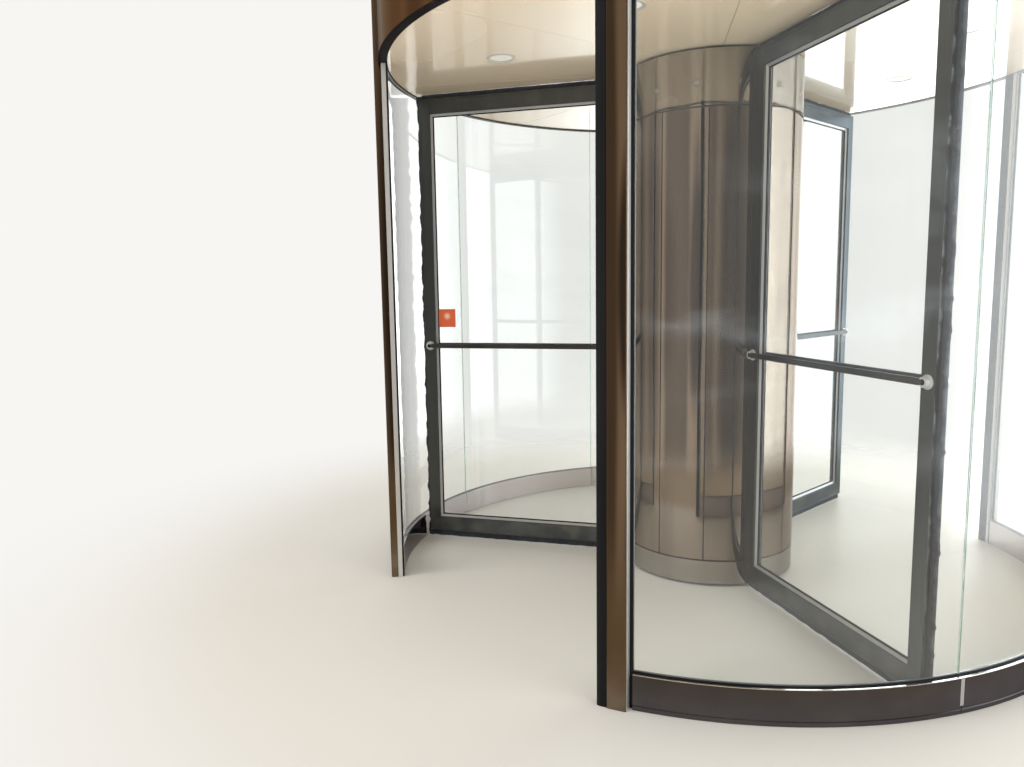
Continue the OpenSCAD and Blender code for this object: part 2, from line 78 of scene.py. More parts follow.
# %% [markdown]
# ## Arithmetic for shaders
#
# A finish is a small calculation: noise times a mask plus a constant. In the node editor each step is a Math
# node. Here one small class wraps an output, so that Python's own operators add those nodes.

# %% A wire that does arithmetic
class Wire:
    """The output of a shader node, on which Python's arithmetic works."""

    def __init__(self, socket):
        self.socket = socket

    def maths(self, operation, left, right):
        tree = self.socket.id_data
        step = tree.nodes.new("ShaderNodeMath")
        step.operation = operation
        for slot, value in zip(step.inputs, (left, right)):
            if isinstance(value, Wire):
                tree.links.new(value.socket, slot)
            else:
                slot.default_value = value
        return Wire(step.outputs[0])

    def __add__(self, other):
        return self.maths("ADD", self, other)

    def __sub__(self, other):
        return self.maths("SUBTRACT", self, other)

    def __rsub__(self, other):
        return self.maths("SUBTRACT", other, self)

    def __mul__(self, other):
        return self.maths("MULTIPLY", self, other)

    def __pow__(self, other):
        return self.maths("POWER", self, other)

    __radd__ = __add__
    __rmul__ = __mul__


# %% A finish and its nodes
class Finish:
    """A material, or the world, that is built node by node."""

    def __init__(self, name, owner=None):
        self.material = owner or bpy.data.materials.new(name)
        self.material.use_nodes = True
        self.tree = self.material.node_tree
        self.tree.nodes.clear()

    def node(self, kind, settings=None, out=0, **sockets):
        """Adds a node. A socket is named with _ for each space, or i and its number."""
        made = self.tree.nodes.new("ShaderNode" + kind)
        for key, value in (settings or {}).items():
            setattr(made, key, value)
        for key, value in sockets.items():
            numbered = key[0] == "i" and key[1:].isdigit()
            slot = made.inputs[int(key[1:]) if numbered else key.replace("_", " ")]
            if isinstance(value, Wire):
                self.tree.links.new(value.socket, slot)
            else:
                slot.default_value = value
        return Wire(made.outputs[out])

    def place(self, scale=(1, 1, 1)):
        """The point on the surface, in the door's own coordinates, stretched."""
        return self.node("Mapping", Vector=self.node("TexCoord", out="Object"), Scale=scale)

    def height(self):
        return self.node("SeparateXYZ", out=2, Vector=self.node("TexCoord", out="Object"))

    def ray(self, question):
        """What the ray that asks for a colour is, or how often it was reflected."""
        return self.node("LightPath", out=question)

    def measured(self, operation, **vectors):
        """A length, a distance or a dot product."""
        return self.node("VectorMath", {"operation": operation}, out="Value", **vectors)

    def cloud(self, scale, detail=3.0):
        """Noise from 0 to 1, stretched by scale."""
        return self.node("TexNoise", Vector=self.place(scale), Scale=1.0, Detail=detail)

    def spread(self, value, low, high, to_low=0.0, to_high=1.0):
        """Values between low and high are spread smoothly over a new range."""
        return self.node("MapRange", {"interpolation_type": "SMOOTHSTEP"}, Value=value, From_Min=low,
                         From_Max=high, To_Min=to_low, To_Max=to_high)

    def mixed(self, share, first, second):
        """Two colours, mixed."""
        return self.node("Mix", {"data_type": "RGBA"}, out=2, Factor=share, i6=first, i7=second)

    def bump(self, height, strength, depth):
        return self.node("Bump", Height=height, Strength=strength, Distance=depth)

    def skin(self, **sockets):
        """The Principled shader as the surface."""
        self.surface(self.node("BsdfPrincipled", **sockets))
        return self.material

    def surface(self, shader, kind="Material"):
        end = self.tree.nodes.new("ShaderNodeOutput" + kind)
        self.tree.links.new(shader.socket, end.inputs["Surface"])
        return self.material


def rgb(red, green, blue):
    return (red, green, blue, 1)


# %% [markdown]
# ## Floor, backdrop and light
#
# The stage is plain: a pale floor that fades out into a pale surround, so that no horizon cuts the picture or
# the reflections. A curved paper backdrop would do it too, but it would shut out the light of the surround.
# The fade is a mix by one over the distance from the door, and the floor keeps the door's shadow and a soft
# reflection. In the second reflection and beyond, the floor round the door is warmer and darker.

# %% Stage
surround = rgb(0.93, 0.92, 0.90)
paving = Finish("stage floor")
far = paving.measured("LENGTH", i0=paving.place())
fade = paving.spread(far ** -1.0, 0.235, 0.45, 1.0, 0.0)
mirror = paving.spread(paving.ray("Glossy Depth"), 0.0, 1.0)
warmer = mirror * paving.spread(far, 1.5, 1.9)
tone = paving.mixed(warmer, rgb(0.82, 0.79, 0.73), rgb(0.50, 0.41, 0.29))
stone = paving.node("BsdfPrincipled", Base_Color=tone, Roughness=0.40, Specular_IOR_Level=0.10)
sky = paving.node("MixShader", Fac=paving.ray("Is Glossy Ray"), i2=paving.node("BsdfTransparent"),
                  i1=paving.node("Emission", Color=surround, Strength=1.0))
paving.surface(paving.node("MixShader", Fac=fade, i1=stone, i2=sky))

bm = bmesh.new()
bmesh.ops.create_circle(bm, cap_ends=True, segments=96, radius=60)
mesh = bpy.data.meshes.new("stage floor")
bm.to_mesh(mesh)
bm.free()
mesh.materials.append(paving.material)
floor = bpy.data.objects.new("stage floor", mesh)
scene.collection.objects.link(floor)

# %% [markdown]
# The surround lights the door evenly from all round, and the camera sees its pale colour, also through glass.
# Mirror sheet under one flat colour looks like grey paint, so what gloss shows is a little richer: broad soft
# bands, warm and darker on the lobby's side, bright on the street's side, as a hall before a street would be,
# and two narrow dark directions. Each row of REFLECTED is a heading, how nearly a ray has to point that way
# for the change to begin and to be full, and two colours.
# Two large lamps stand at a distance, and two at window height reach the floor inside. Three lie flat on the
# floor, so that they light the ceiling and leave the floor alone; every lamp stays unseen itself.

# %% Surround and lamps
scene.world = bpy.data.worlds.new("surround")
room = Finish("surround", scene.world)
way = room.node("TexCoord", out="Generated")
stretched = room.node("Mapping", Vector=way, Scale=(2.6, 2.6, 0.30))
bands = room.spread(room.node("TexNoise", Vector=stretched, Scale=1.0, Detail=1.0), 0.40, 0.60)
mirrored = room.mixed(bands, rgb(0.26, 0.215, 0.170), rgb(0.72, 0.62, 0.50))

REFLECTED = ((-20, 0.90, 0.985, rgb(0.08, 0.07, 0.06), rgb(0.12, 0.10, 0.09)),
             (-69.5, 0.982, 0.996, rgb(0.10, 0.09, 0.085), rgb(0.15, 0.13, 0.12)),
             (80, 0.40, 0.62, rgb(2.40, 2.50, 2.55), rgb(3.60, 3.70, 3.75)))
for heading, close, full, low, high in REFLECTED:
    aim = (cos(radians(heading)), sin(radians(heading)), 0)
    likeness = room.measured("DOT_PRODUCT", i0=way, i1=aim)
    mirrored = room.mixed(room.spread(likeness, close, full), mirrored, room.mixed(bands, low, high))
direct = room.ray("Is Diffuse Ray")
gloss = room.spread(room.ray("Glossy Depth"), 0.0, 1.0) * (1 - direct)
room.surface(room.node("Background", Color=room.mixed(gloss, surround, mirrored), Strength=1 - direct * 0.15),
             "World")

# %% Lamps
LAMPS = (  # name, place, what it faces, size, watts, colour
    ("lobby lamp", (-1.5, -6.5, 5.0), (0, 0, 1.2), 4.0, 160, (1.0, 0.98, 0.955)),
    ("street lamp", (2.5, 7.5, 4.5), (0, 0, 1.0), 5.0, 160, (0.93, 0.97, 1.0)),
    ("low lobby lamp", (-0.5, -4.2, 0.03), (-0.5, -4.2, 1.0), 2.0, 28, (1.0, 0.97, 0.93)),
    ("low street lamp", (0.8, 4.6, 0.03), (0.8, 4.6, 1.0), 3.0, 150, (1.0, 0.98, 0.95)),
    ("low side lamp", (4.2, -1.2, 0.03), (4.2, -1.2, 1.0), 3.0, 270, (1.0, 0.98, 0.95)),
    ("street window lamp", (0.2, 4.4, 2.1), (0, -0.4, 0), 2.6, 45, (1.0, 0.99, 0.97)),
    ("side window lamp", (4.2, -0.4, 2.1), (0, -0.6, 0), 2.4, 30, (1.0, 0.99, 0.97)),
)
for name, spot, aim, size, watts, colour in LAMPS:
    light = bpy.data.lights.new(name, "AREA")
    light.size, light.energy, light.color = size, watts, colour
    thing = bpy.data.objects.new(name, light)
    thing.visible_camera = thing.visible_transmission = thing.visible_glossy = False
    thing.location = spot
    thing.rotation_euler = (Vector(aim) - Vector(spot)).to_track_quat("-Z", "Y").to_euler()
    scene.collection.objects.link(thing)

# %% [markdown]
# ## Polished steel
#
# Posts, rails, fascia and drum are clad in tinted stainless sheet with a mirror polish. Such a sheet is never
# quite flat: it waves by a hair, which bends what it reflects, and it carries wiped smears, dust near the
# floor and long faint streaks. The wings' bars and push bars are the same sheet with a satin face. One
# function makes them all, with another tint, roughness and wave for each. On the base rails, the pale top
# edge is a painted highlight and the lighter inner face is a painted reflection.

# %% Polished steel
# The first two colours are painted light on the base rail: a pale highlight on its top edge and a lighter
# reflection on its inner face. DUST is the colour of real dust.
PAINTED_EDGE_HIGHLIGHT, PAINTED_INNER_REFLECTION, DUST = rgb(0.85, 0.85, 0.84), rgb(0.66, 0.62, 0.63), rgb(0.45, 0.41, 0.36)
HAZE = 0.04


def polished_steel(name, tint, deep, rough, wave, smear=1.0, cloudy=1.0, dirt=1.0, highlight_height=None, reflection_radius=None):
    """Mirror sheet of two tints; a painted highlight above one height, a painted reflection within one radius.
    """
    paint = Finish(name)
    streak = paint.spread(paint.cloud((7, 7, 0.35), 4), 0.35, 0.68)
    patch = paint.spread(paint.cloud((1.1, 1.1, 0.7), 3), 0.40, 0.66)
    wiped = paint.spread(paint.cloud((3.0, 3.0, 9.0), 2), 0.50, 0.75)
    z = paint.height()
    dust = paint.spread(z, 0.0, 0.30, 1.0, 0.0) * paint.spread(paint.cloud((9, 9, 14), 1), 0.35, 0.75)
    hands = paint.spread(z, 0.75, 0.95) * paint.spread(z, 1.30, 1.60, 1.0, 0.0)
    touched = hands * paint.spread(paint.cloud((13, 13, 9), 0), 0.50, 0.80)
    colour = paint.mixed((streak * 0.6 + patch * 0.4 - 0.5) * cloudy + 0.5, rgb(*deep), rgb(*tint))
    # Painted highlight: from this height up, the rail's top edge turns pale, standing in for the bright line
    # that the edge reflects.
    if highlight_height:
        colour = paint.mixed(paint.spread(z, highlight_height, highlight_height + 0.0006), colour, PAINTED_EDGE_HIGHLIGHT)
        # Painted reflection: within this radius, the rail's inner face is lighter, standing in for the bright
        # floor that it reflects.
        flat = paint.measured("LENGTH", i0=paint.place((1, 1, 0)))
        colour = paint.mixed(paint.spread(flat, reflection_radius, reflection_radius + 0.001, 1.0, 0.0), colour, PAINTED_INNER_REFLECTION)
    dusty = paint.mixed(dust * (0.22 * dirt), colour, DUST)
    gloss = wiped * (HAZE * smear) + dust * (HAZE * dirt) + touched * (HAZE * smear) + rough
    sway = paint.cloud((2.6, 2.6, 1.5), 1) + paint.cloud((60, 60, 1.2), 2) * 0.012
    return paint.skin(Base_Color=dusty, Metallic=1.0, Roughness=gloss, Normal=paint.bump(sway, wave, 0.02),
                      Specular_Tint=rgb(*(0.35 + 0.65 * c for c in tint)))


post_steel = polished_steel("post steel", (0.228, 0.166, 0.115), (0.155, 0.113, 0.080), 0.06, 0.08)
# The base rail's pale top edge is a painted highlight, and its lighter inner face is a painted reflection.
rail_steel = polished_steel("rail steel", (0.124, 0.118, 0.130), (0.088, 0.083, 0.093), 0.08, 0.10,
                            smear=0.3, cloudy=0.3, dirt=0.2, highlight_height=0.1228, reflection_radius=1.549)
fascia_steel = polished_steel("fascia steel", (0.215, 0.136, 0.087), (0.150, 0.094, 0.061), 0.08, 0.22)
drum_steel = polished_steel("drum steel", (0.360, 0.305, 0.260), (0.235, 0.195, 0.165), 0.035, 0.30, smear=0.6)
header_steel = polished_steel("header steel", (0.410, 0.385, 0.350), (0.300, 0.280, 0.258), 0.04, 0.30,
                              smear=0.6)
wing_steel = polished_steel("wing steel", (0.150, 0.170, 0.182), (0.104, 0.118, 0.128), 0.28, 0.10, smear=0.6)
bar_steel = polished_steel("bar steel", (0.140, 0.146, 0.150), (0.092, 0.096, 0.100), 0.28, 0.05)
bright_steel = polished_steel("bright steel", (0.80, 0.80, 0.79), (0.66, 0.66, 0.65), 0.12, 0.06)

# %% [markdown]
# ## Satin black, rubber, satin alloy and primed steel
#
# The ring over the glass is black with a soft gloss, the drum's inside shows only through thin joints, and
# the rubber is matt and slightly grey where it is dusty. Each has its own grain so that none is a flat colour.

# %% Dull finishes
def coated(name, colour, worn, rough, grain, size, metallic=0.0, mirror=0.5):
    """A painted, moulded or primed surface with a fine grain and slow patches."""
    paint = Finish(name)
    fine = paint.cloud((size, size, size), 3)
    slow = paint.spread(paint.cloud((1.7, 1.7, 1.7), 4), 0.35, 0.70)
    tone = paint.mixed(slow * 0.5 + fine * 0.3, rgb(*colour), rgb(*worn))
    return paint.skin(Base_Color=tone, Metallic=metallic, Roughness=slow * 0.12 + fine * 0.06 + rough,
                      Specular_IOR_Level=mirror, Normal=paint.bump(fine, grain, 0.002))


ring_black = coated("ring black", (0.006, 0.005, 0.006), (0.010, 0.008, 0.009), 0.30, 0.10, 260, mirror=0.03)
inner_dark = coated("inner dark", (0.030, 0.030, 0.033), (0.050, 0.048, 0.048), 0.35, 0.20, 180)
rubber = coated("black rubber", (0.008, 0.0085, 0.010), (0.016, 0.016, 0.018), 0.46, 0.35, 420, mirror=0.15)
grey_bead = coated("grey silicone", (0.30, 0.31, 0.32), (0.24, 0.25, 0.26), 0.35, 0.20, 300)
primer = coated("grey primer", (0.36, 0.37, 0.39), (0.27, 0.28, 0.29), 0.48, 0.30, 150)
satin_alloy = coated("satin alloy", (0.76, 0.76, 0.75), (0.65, 0.65, 0.64), 0.28, 0.06, 300, metallic=0.6)
bead_alloy = coated("bead alloy", (0.54, 0.55, 0.56), (0.45, 0.46, 0.47), 0.28, 0.06, 300, metallic=0.6)
white_trim = coated("lamp trim", (0.62, 0.60, 0.56), (0.54, 0.52, 0.48), 0.26, 0.10, 200, metallic=0.3)
roof_paint = coated("roof sheet", (0.150, 0.158, 0.168), (0.235, 0.235, 0.230), 0.42, 0.30, 110)

# %% [markdown]
# ## Ceiling panels and lamp lenses
#
# The ceiling of the drum-shaped canopy is a cream board with a gloss lacquer. It shows slow colour patches
# and an orange-peel surface. The lenses are frosted and glow a little.

# %% Cream board and lens
board = Finish("cream board")
warm = board.spread(board.cloud((0.9, 0.9, 0.9), 1), 0.30, 0.70)
peel = board.cloud((38, 38, 38), 2)
cream = board.mixed(warm, rgb(0.79, 0.62, 0.43), rgb(0.83, 0.69, 0.51))
cream_board = board.skin(Base_Color=cream, Roughness=warm * 0.08 + 0.20, Coat_Weight=0.9, Coat_Roughness=0.06,
                         Normal=board.bump(peel, 0.05, 0.002))

frost = Finish("lamp lens")
speck = frost.cloud((300, 300, 300), 2)
frosted = frost.mixed(speck, rgb(0.82, 0.79, 0.72), rgb(0.90, 0.87, 0.80))
lamp_lens = frost.skin(Base_Color=frosted, Roughness=0.35, Emission_Color=rgb(1.0, 0.95, 0.85),
                       Emission_Strength=0.12, Normal=frost.bump(speck, 0.2, 0.001))

# %% [markdown]
# ## Glass
#
# The bent panes are laminated float glass: clear, with a faint green tint. A Glass or Principled shader bends
# the light as two real surfaces do. Lamps would then leave dark shadows behind each pane, because light that
# is bent can't be aimed at, so rays that only look for a lamp pass straight through. A trace of haze, which
# is thicker where hands and wiping cloths leave it, keeps large panes from vanishing. The clear sealant and
# the bonded end faces are plain see-through mixes, as nothing shows their thickness.

# %% Glass
def clear_glass(name, tint, haze):
    paint = Finish(name)
    wiped = paint.spread(paint.cloud((1.6, 1.6, 5.0), 5), 0.50, 0.74)
    z = paint.height()
    low = paint.spread(z, 0.12, 0.45, 1.0, 0.0)
    hands = paint.spread(z, 0.85, 1.05) * paint.spread(z, 1.35, 1.65, 1.0, 0.0)
    film = wiped * (0.6 + hands * 0.8) + low * 0.5
    body = paint.node("BsdfPrincipled", Base_Color=rgb(*tint), Roughness=0.0, IOR=1.45, Transmission_Weight=1.0)
    veil = paint.node("BsdfDiffuse", Color=rgb(0.80, 0.88, 0.95))
    veiled = paint.node("MixShader", Fac=film * haze + haze * 0.3, i1=body, i2=veil)
    through = paint.node("BsdfTransparent", Color=rgb(*(0.97 * c for c in tint)))
    asks = paint.ray("Is Shadow Ray")
    return paint.surface(paint.node("MixShader", Fac=asks, i1=veiled, i2=through))


bent_glass = clear_glass("bent glass", (0.970, 0.990, 0.982), 0.034)
flat_glass = clear_glass("wing glass", (0.975, 0.990, 0.984), 0.016)

bonded = Finish("bonded edge")
bonded_edge = bonded.surface(bonded.node("BsdfTransparent", Color=rgb(0.90, 0.97, 0.94)))

seal = Finish("clear sealant")
milky = seal.spread(seal.cloud((40, 40, 9), 2), 0.35, 0.65) * 0.15 + 0.15
sealant = seal.surface(seal.node("MixShader", Fac=milky,
                                 i1=seal.node("BsdfTransparent", Color=rgb(0.93, 0.97, 0.95)),
                                 i2=seal.node("BsdfDiffuse", Color=rgb(0.80, 0.86, 0.84))))
print("finishes:", len(bpy.data.materials))

# %% [markdown]
# ## Modelling helpers
#
# Nearly everything here is either a straight bar or a profile turned about the door's axis, so three shapes
# are enough: a box between two corners, a profile spun through an angle, and a closed ring. The other helpers
# turn, join and finish pieces. Edges are rounded by a Bevel modifier, whose hardened normals keep flat faces
# flat. A hair's clearance keeps the faces of touching pieces apart.

# %% Helpers
WING_TURNS = (-22.6, 97.4, 217.4)
HAIR, TINY, CREASE = 0.0003, 1e-6, radians(32)


def block(bm, low, high):
    """A box between two corners."""
    verts = bmesh.ops.create_cube(bm, size=1)["verts"]
    bmesh.ops.scale(bm, vec=[b - a for a, b in zip(low, high)], verts=verts)
    bmesh.ops.translate(bm, vec=[(a + b) / 2 for a, b in zip(low, high)], verts=verts)
    return verts


def swung(bm, profile, first, last, step=1.0):
    """A closed (radius, height) profile, spun about the axis between two angles."""
    verts = [bm.verts.new((r, 0, z)) for r, z in profile]
    face = bm.faces.new(verts)
    bmesh.ops.rotate(bm, cent=(0, 0, 0), matrix=Matrix.Rotation(radians(first), 3, "Z"), verts=verts)
    bmesh.ops.spin(bm, geom=[face, *face.edges, *verts], cent=(0, 0, 0), axis=(0, 0, 1),
                   angle=radians(last - first), steps=max(1, round((last - first) / step)))


def closed_ring(bm, profile, steps=180, centre=(0, 0), cap=False):
    """A (radius, height) profile, spun once round an upright axis. Its ends join unless it meets the axis."""
    verts = [bm.verts.new((centre[0] + r, centre[1], z)) for r, z in profile]
    ends = zip(verts, verts[1:] if cap else verts[1:] + verts[:1])
    edges = [bm.edges.new(pair) for pair in ends]
    bmesh.ops.spin(bm, geom=[*verts, *edges], cent=(*centre, 0), axis=(0, 0, 1), angle=2 * pi, steps=steps,
                   use_merge=True)
    if cap:
        bmesh.ops.remove_doubles(bm, verts=bm.verts, dist=TINY)


def turn(bm, degrees, verts=None):
    """Turns pieces about the door's axis."""
    bmesh.ops.rotate(bm, cent=(0, 0, 0), matrix=Matrix.Rotation(radians(degrees), 3, "Z"),
                     verts=verts or bm.verts)


def gather(whole, part):
    """Adds a small bmesh, once it is in its place, to a larger one."""
    mesh = bpy.data.meshes.new("part")
    part.to_mesh(mesh)
    part.free()
    whole.from_mesh(mesh)
    bpy.data.meshes.remove(mesh)


def finished(name, bm, body, paint, stands_for=(), edge=0.0, segments=2):
    """Turns a bmesh into a piece of the door and says what it rides on and stands for."""
    bmesh.ops.recalc_face_normals(bm, faces=bm.faces)
    mesh = bpy.data.meshes.new(name)
    bm.to_mesh(mesh)
    bm.free()
    mesh.polygons.foreach_set("use_smooth", [True] * len(mesh.polygons))
    mesh.set_sharp_from_angle(angle=CREASE)
    mesh.materials.append(paint)
    piece = bpy.data.objects.new(name, mesh)
    scene.collection.objects.link(piece)
    if edge:
        rounding = piece.modifiers.new("rounded edges", "BEVEL")
        rounding.width, rounding.segments = edge, segments
        rounding.limit_method, rounding.angle_limit = "ANGLE", CREASE
        rounding.harden_normals = True
    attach(piece, body)
    if stands_for:
        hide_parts(*stands_for)
    print(f"{name}: {len(mesh.polygons)} faces, {tuple(round(d, 3) for d in piece.dimensions)} m")
    return piece


def paint_node(paint, *names):
    """Gives solids that stay as they are a better finish."""
    for name in names:
        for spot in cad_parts[name].material_slots:
            spot.material = paint


# %% [markdown]
# ## Posts
#
# Two posts stand at each opening. Each is a narrow box of bronze sheet folded round a core, so its outer
# corners are round by some 4 mm and its others crisp. Above the ring it goes on as a cover strip over the
# joint of the fascia. A box with two bevelled edges has exactly that shape.

# %% Posts
CLEAR, OUTER, PROUD = 1.538, 1.580, 1.600
RING_LOW, CEILING, ROOF = 2.400, 2.403, 2.850
TOP = RING_LOW - HAIR
POST_CORE, POST_WIDTH, FOLD = 0.029, 0.067, 0.004
POSTS = {"lobby_east": (-61.7, 1), "lobby_west": (-118.3, -1),
         "street_west": (118.3, 1), "street_east": (61.7, -1)}


def at_post(bm, which, verts=None):
    """Moves what was drawn for a post (x outwards, y away from the opening) to its place."""
    degrees, side = POSTS[which]
    verts = verts or bm.verts
    bmesh.ops.scale(bm, vec=(1, side, 1), verts=verts)
    turn(bm, degrees, verts)


def fold(bm, verts, axis, place, width, segments=5):
    """Rounds the upright edges of a box that lie at one place along an axis."""
    edges = {e for v in verts for e in v.link_edges if all(abs(w.co[axis] - place) < TINY for w in e.verts)}
    upright_edges = [e for e in edges if abs(e.verts[0].co.z - e.verts[1].co.z) > 0.01]
    bmesh.ops.bevel(bm, geom=upright_edges, offset=width, offset_type="OFFSET", affect="EDGES",
                    segments=segments, profile=0.5, material=-1)


for which in POSTS:
    bm = bmesh.new()
    fold(bm, block(bm, (CLEAR + POST_CORE, 0, 0), (PROUD, POST_WIDTH, TOP)), 0, PROUD, FOLD)
    fold(bm, block(bm, (OUTER + 0.0004, 0, RING_LOW), (PROUD, POST_WIDTH, ROOF)), 0, PROUD, FOLD)
    at_post(bm, which)
    finished(f"post_{which}_sheet", bm, "enclosure", post_steel, [f"post_{which}"], 0.0008)

# %% [markdown]
# ## Jambs
#
# Inside each post a pale satin channel holds the upright edge of the glass, and a thin flange of it runs along
# the post's flank. From the lobby that flange is the white line next to the dark post. The channel could be
# one grooved bar; two legs on a web are nearer to the rolled section and leave the glass free between them.

# %% Jambs
WEB, MOUTH = 0.0535, 0.069
JAMB_IN, JAMB_OUT, FLANGE_OUT = 1.5465, 1.567, 1.596
bm = bmesh.new()
for which in POSTS:
    parts = block(bm, (JAMB_IN, 0, 0), (JAMB_OUT, WEB, TOP))
    parts += block(bm, (CLEAR, WEB, 0), (1.5485, MOUTH, TOP))
    parts += block(bm, (1.5634, WEB, 0), (JAMB_OUT, MOUTH, TOP))
    parts += block(bm, (JAMB_OUT, 0.0673, 0), (FLANGE_OUT, MOUTH, TOP))
    at_post(bm, which, parts)
finished("jamb_channels", bm, "enclosure", satin_alloy, ["glazing_jambs"], 0.0006)

bm = bmesh.new()
for which in POSTS:
    at_post(bm, which, block(bm, (CLEAR, 0, 0), (JAMB_IN - HAIR, WEB - HAIR, TOP)))
finished("jamb_rubber_edges", bm, "enclosure", rubber, (), 0.0015)

# %% [markdown]
# ## Safety strips
#
# The post that a wing closes on carries a hollow rubber edge, which gives way and stops the drive. Its nose
# is round and its flanks are ribbed. The nose is a wide bevel; the ribs are slender bars along the flanks.

# %% Safety strips
NOSE, RIBS = -0.039, (-0.0035, -0.0085, -0.0135, -0.0185)
bm = bmesh.new()
for which in ("lobby_east", "street_west"):
    fold(bm, block(bm, (1.5425, NOSE, 0), (1.5955, -HAIR, TOP)), 1, NOSE, 0.0138, 7)
    strip = [v for v in bm.verts if v.co.y < 0.001 and 1.5 < v.co.x < 1.6]
    for y in RIBS:
        strip += block(bm, (1.5417, y - 0.0013, 0), (1.5963, y + 0.0013, TOP))
    at_post(bm, which, list(set(strip)))
finished("safety_strip_rubber", bm, "enclosure", rubber, ["safety_strips"], 0.0005)

# %% [markdown]
# ## Bent glass
#
# Each side wall is three panes, 12 mm thick, bent to the drum's circle. A pane is a thin upright rectangle
# spun through its share of the wall. Steps of three quarters of a degree keep the reflections smooth. Clear
# silicone bonds the panes and bends light as glass does, so the end faces let light through instead of
# throwing it back, which would draw a black line at each joint.

# %% Bent panes
GLASS_IN, GLASS_OUT = 1.550, 1.562
WALL_HALF, JOINT, SEAM = 59.703, 19.581, 0.074
PANE_FOOT, PANE_HEAD = 0.112, 2.4005
pane_cuts = (-WALL_HALF, -JOINT, JOINT, WALL_HALF)
PANES = ("east_glass_lobby", "east_glass_middle", "east_glass_street",
         "west_glass_street", "west_glass_middle", "west_glass_lobby")

for count, name in enumerate(PANES):
    base, part = divmod(count, 3)
    first, last = (base * 180 + cut for cut in pane_cuts[part:part + 2])
    bm = bmesh.new()
    swung(bm, [(GLASS_IN, PANE_FOOT), (GLASS_OUT, PANE_FOOT), (GLASS_OUT, PANE_HEAD), (GLASS_IN, PANE_HEAD)],
          first + SEAM, last - SEAM, 0.75)
    bm.normal_update()
    for face in bm.faces:
        outwards = face.calc_center_median().xy.normalized()
        face.material_index = int(abs(face.normal.xy.dot(outwards)) < 0.5 and abs(face.normal.z) < 0.5)
    pane = finished(name + "_sheet", bm, "enclosure", bent_glass, [name])
    pane.data.materials.append(bonded_edge)
paint_node(sealant, "glass_joint_seals")

# %% [markdown]
# ## Base rails and gaskets
#
# The glass stands in a curved base rail of the same bronze sheet, with a fine groove over its toe. Rubber is
# pressed in on both sides of the glass, at the foot, at the head and beside the jambs: black outside, and
# grey inside, where only a faint line shows. All are profiles spun about the axis. A satin cover strip hides
# each joint of the rails.

# %% Base rails
RAIL_END, SOLE, RAIL_TOP = 58.743, 0.001, 0.125
BED, PLAY, GROOVE = 0.111, 0.0006, 0.002
RAIL = [(CLEAR, SOLE), (OUTER, SOLE), (OUTER, 0.016), (OUTER - GROOVE, 0.0164), (OUTER - GROOVE, 0.0186),
        (OUTER, 0.019), (OUTER, RAIL_TOP), (GLASS_OUT + PLAY, RAIL_TOP), (GLASS_OUT + PLAY, BED),
        (GLASS_IN - PLAY, BED), (GLASS_IN - PLAY, RAIL_TOP), (CLEAR, RAIL_TOP)]
rail_cuts = (-RAIL_END, -JOINT, JOINT, RAIL_END)
RAILS = ("east_rail_lobby", "east_rail_middle", "east_rail_street",
         "west_rail_street", "west_rail_middle", "west_rail_lobby")

for count, name in enumerate(RAILS):
    base, part = divmod(count, 3)
    first, last = (base * 180 + cut for cut in rail_cuts[part:part + 2])
    bm = bmesh.new()
    swung(bm, RAIL, first + 0.03, last - 0.03, 1.0)
    finished(name + "_sheet", bm, "enclosure", rail_steel, [name], 0.0012)

STRIP_THICK, STRIP_HALF, STRIP_LOW, STRIP_HIGH = 0.0008, 0.26, 0.030, 0.1235
bm = bmesh.new()
for middle in (-JOINT, JOINT, 180 - JOINT, 180 + JOINT):
    for low, high in ((OUTER, OUTER + STRIP_THICK), (CLEAR - STRIP_THICK, CLEAR)):
        swung(bm, [(low, STRIP_LOW), (high, STRIP_LOW), (high, STRIP_HIGH), (low, STRIP_HIGH)],
              middle - STRIP_HALF, middle + STRIP_HALF, STRIP_HALF)
finished("rail_joint_strips", bm, "enclosure", bead_alloy, (), 0.0003)

# %% Gaskets
RUBBER_END = 59.15
outside, inside = bmesh.new(), bmesh.new()
for base in (0, 180):
    for bm, r, side in ((inside, GLASS_IN - HAIR, -1), (outside, GLASS_OUT + HAIR, 1)):
        for z, way in ((0.1252, 1), (2.3997, -1)):
            wedge = [(r, z), (r + side * 0.0062, z), (r + side * 0.0062, z + way * 0.0014),
                     (r + side * 0.0035, z + way * 0.0038), (r, z + way * 0.0044)]
            swung(bm, wedge, base - RAIL_END, base + RAIL_END, 1.0)
        plan = [(r, SOLE), (r + side * 0.006, SOLE), (r + side * 0.006, TOP), (r, TOP)]
        for first, last in ((RAIL_END + 0.02, RUBBER_END), (-RUBBER_END, -RAIL_END - 0.02)):
            swung(bm, plan, base + first, base + last, 0.4)
finished("glazing_rubber", outside, "enclosure", rubber, ["glazing_gaskets"])
finished("glazing_rubber_inside", inside, "enclosure", grey_bead, ["glazing_gaskets"])

# %% [markdown]
# ## Ring and fascia
#
# Over the posts and the glass lies a black ring. Its underside is what shows; a thin lip of it carries the
# fascia, which closes the canopy with four curved sheets of brown mirror steel. The posts' cover strips hide
# the joints of those sheets.

# %% Ring
LIP_IN, LIP_OUT, LIP_TOP = 1.544, 1.5747, 2.440
bm = bmesh.new()
closed_ring(bm, [(CLEAR, RING_LOW), (OUTER, RING_LOW), (OUTER, CEILING), (LIP_OUT, CEILING), (LIP_OUT, LIP_TOP),
                 (LIP_IN, LIP_TOP), (LIP_IN, CEILING), (CLEAR, CEILING)], 360)
finished("ring_band", bm, "enclosure", ring_black, ["soffit_ring"], 0.0010)

